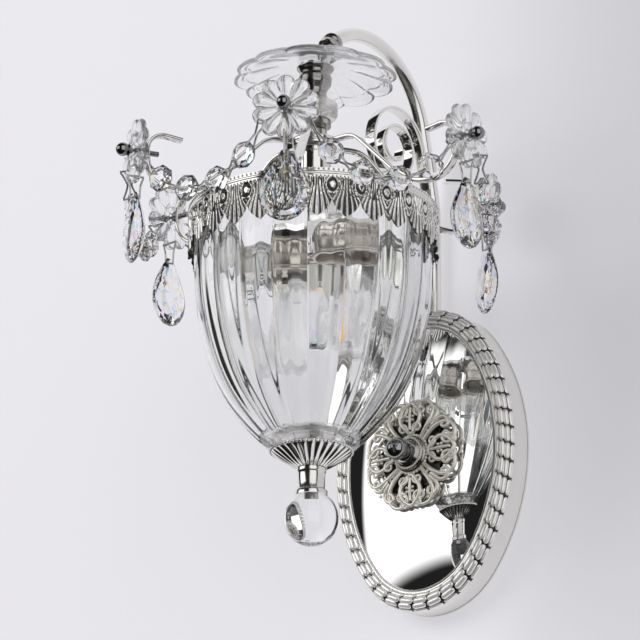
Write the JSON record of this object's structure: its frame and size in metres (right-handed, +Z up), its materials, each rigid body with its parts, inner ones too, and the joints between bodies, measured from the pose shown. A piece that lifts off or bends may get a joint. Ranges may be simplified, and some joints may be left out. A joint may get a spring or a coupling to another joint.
{
  "type": "wall sconce",
  "caption": "Crystal wall sconce: a fluted glass bell under a gooseneck arm on an oval mirror-faced plate with a rope border, hung with faceted drops and bead swags.",
  "frame": {"origin": "centre of the mounting bar's two slots, on the wall plane", "axes": "+Y into the wall, +Z up, +X to the right as seen from the room"},
  "size_m": [0.2302, 0.2184, 0.3285],
  "materials": {
    "polished_nickel": "polished nickel plate, slightly warm",
    "plated_steel": "plain zinc-plated steel",
    "mirror_plate": "mirror-polished pressed plate",
    "cut_crystal": "clear cut crystal with sharp facets",
    "clear_glass": "clear pressed and blown glass",
    "ivory_sleeve": "ivory sleeve over the stem",
    "lamp_cap": "plain lamp cap",
    "filament": "amber filament rods"
  },
  "bodies": {
    "frame": {"arm_collar": "polished_nickel", "arm_hub": "polished_nickel", "arm_nut": "plated_steel", "arm_scroll": "polished_nickel", "centre_stud": "plated_steel", "column": "polished_nickel", "crystal_rosettes": "cut_crystal", "dish_cup": "polished_nickel", "finial_cup": "polished_nickel", "finial_nut": "plated_steel", "gallery_band": "polished_nickel", "glass_bell": "clear_glass", "glass_dish": "clear_glass", "gooseneck": "polished_nickel", "lamp_bar": "polished_nickel", "lamp_socket_1": "polished_nickel", "lamp_socket_2": "polished_nickel", "mounting_bar": "plated_steel", "plate_rosette": "polished_nickel", "rope_border": "polished_nickel", "rosette_boss": "polished_nickel", "rosette_pins": "polished_nickel", "stem_barrel": "ivory_sleeve", "stem_nut": "polished_nickel", "strap_arm_1": "polished_nickel", "strap_arm_2": "polished_nickel", "strap_arm_3": "polished_nickel", "strap_arm_4": "polished_nickel", "strap_arm_5": "polished_nickel", "strap_arm_6": "polished_nickel", "wall_plate": "mirror_plate", "wire_loops": "polished_nickel"},
    "plate_knob": {"plate_knob": "polished_nickel"},
    "finial": {"finial_neck": "polished_nickel", "finial_ball": "clear_glass", "finial_stud": "plated_steel"},
    "bulb_1": {"bulb_base_1": "lamp_cap", "bulb_glass_1": "clear_glass", "bulb_filament_1": "filament"},
    "bulb_2": {"bulb_base_2": "lamp_cap", "bulb_glass_2": "clear_glass", "bulb_filament_2": "filament"},
    "drop_1": {"crystal_drop_1": "cut_crystal"},
    "drop_2": {"crystal_drop_2": "cut_crystal"},
    "drop_3": {"crystal_drop_3": "cut_crystal"},
    "drop_4": {"crystal_drop_4": "cut_crystal"},
    "drop_5": {"crystal_drop_5": "cut_crystal"},
    "drop_6": {"crystal_drop_6": "cut_crystal"},
    "swag_1": {"swag_beads_1": "cut_crystal", "swag_links_1": "polished_nickel"},
    "swag_2": {"swag_beads_2": "cut_crystal", "swag_links_2": "polished_nickel"},
    "swag_3": {"swag_beads_3": "cut_crystal", "swag_links_3": "polished_nickel"},
    "swag_4": {"swag_beads_4": "cut_crystal", "swag_links_4": "polished_nickel"},
    "swag_5": {"swag_beads_5": "cut_crystal", "swag_links_5": "polished_nickel"}
  },
  "joints": [
    {"name": "plate_knob_turn", "type": "hinge", "parent": "frame", "child": "plate_knob", "pos_m": [0, -0.04, 0], "axis": [0, -1, 0], "continuous": true},
    {"name": "finial_turn", "type": "hinge", "parent": "frame", "child": "finial", "pos_m": [0, -0.116, -0.05], "axis": [0, 0, 1], "continuous": true},
    {"name": "bulb_1_turn", "type": "hinge", "parent": "frame", "child": "bulb_1", "pos_m": [-0.024, -0.116, 0.09], "axis": [0, 0, 1], "continuous": true},
    {"name": "bulb_2_turn", "type": "hinge", "parent": "frame", "child": "bulb_2", "pos_m": [0.024, -0.116, 0.09], "axis": [0, 0, 1], "continuous": true},
    {"name": "drop_1_swing", "type": "hinge", "parent": "frame", "child": "drop_1", "pos_m": [-0.05187, -0.02615, 0.109], "axis": [-0.5, 0.866, 0], "range_deg": [-25, 25]},
    {"name": "drop_2_swing", "type": "hinge", "parent": "frame", "child": "drop_2", "pos_m": [-0.10375, -0.116, 0.109], "axis": [-1, 0, 0], "range_deg": [-25, 25]},
    {"name": "drop_3_swing", "type": "hinge", "parent": "frame", "child": "drop_3", "pos_m": [-0.05187, -0.20585, 0.109], "axis": [-0.5, -0.866, 0], "range_deg": [-25, 25]},
    {"name": "drop_4_swing", "type": "hinge", "parent": "frame", "child": "drop_4", "pos_m": [0.05187, -0.20585, 0.109], "axis": [0.5, -0.866, 0], "range_deg": [-25, 25]},
    {"name": "drop_5_swing", "type": "hinge", "parent": "frame", "child": "drop_5", "pos_m": [0.10375, -0.116, 0.109], "axis": [1, 0, 0], "range_deg": [-25, 25]},
    {"name": "drop_6_swing", "type": "hinge", "parent": "frame", "child": "drop_6", "pos_m": [0.05187, -0.02615, 0.109], "axis": [0.5, 0.866, 0], "range_deg": [-25, 25]},
    {"name": "swag_1_swing", "type": "hinge", "parent": "frame", "child": "swag_1", "pos_m": [-0.08301, -0.06807, 0.11646], "axis": [-0.5, -0.866, 0], "range_deg": [-10, 10]},
    {"name": "swag_2_swing", "type": "hinge", "parent": "frame", "child": "swag_2", "pos_m": [-0.08301, -0.16392, 0.11646], "axis": [0.5, -0.866, 0], "range_deg": [-10, 10]},
    {"name": "swag_3_swing", "type": "hinge", "parent": "frame", "child": "swag_3", "pos_m": [0, -0.21185, 0.11646], "axis": [1, 0, 0], "range_deg": [-10, 10]},
    {"name": "swag_4_swing", "type": "hinge", "parent": "frame", "child": "swag_4", "pos_m": [0.08301, -0.16392, 0.11646], "axis": [0.5, 0.866, 0], "range_deg": [-10, 10]},
    {"name": "swag_5_swing", "type": "hinge", "parent": "frame", "child": "swag_5", "pos_m": [0.08301, -0.06807, 0.11646], "axis": [-0.5, 0.866, 0], "range_deg": [-10, 10]}
  ]
}
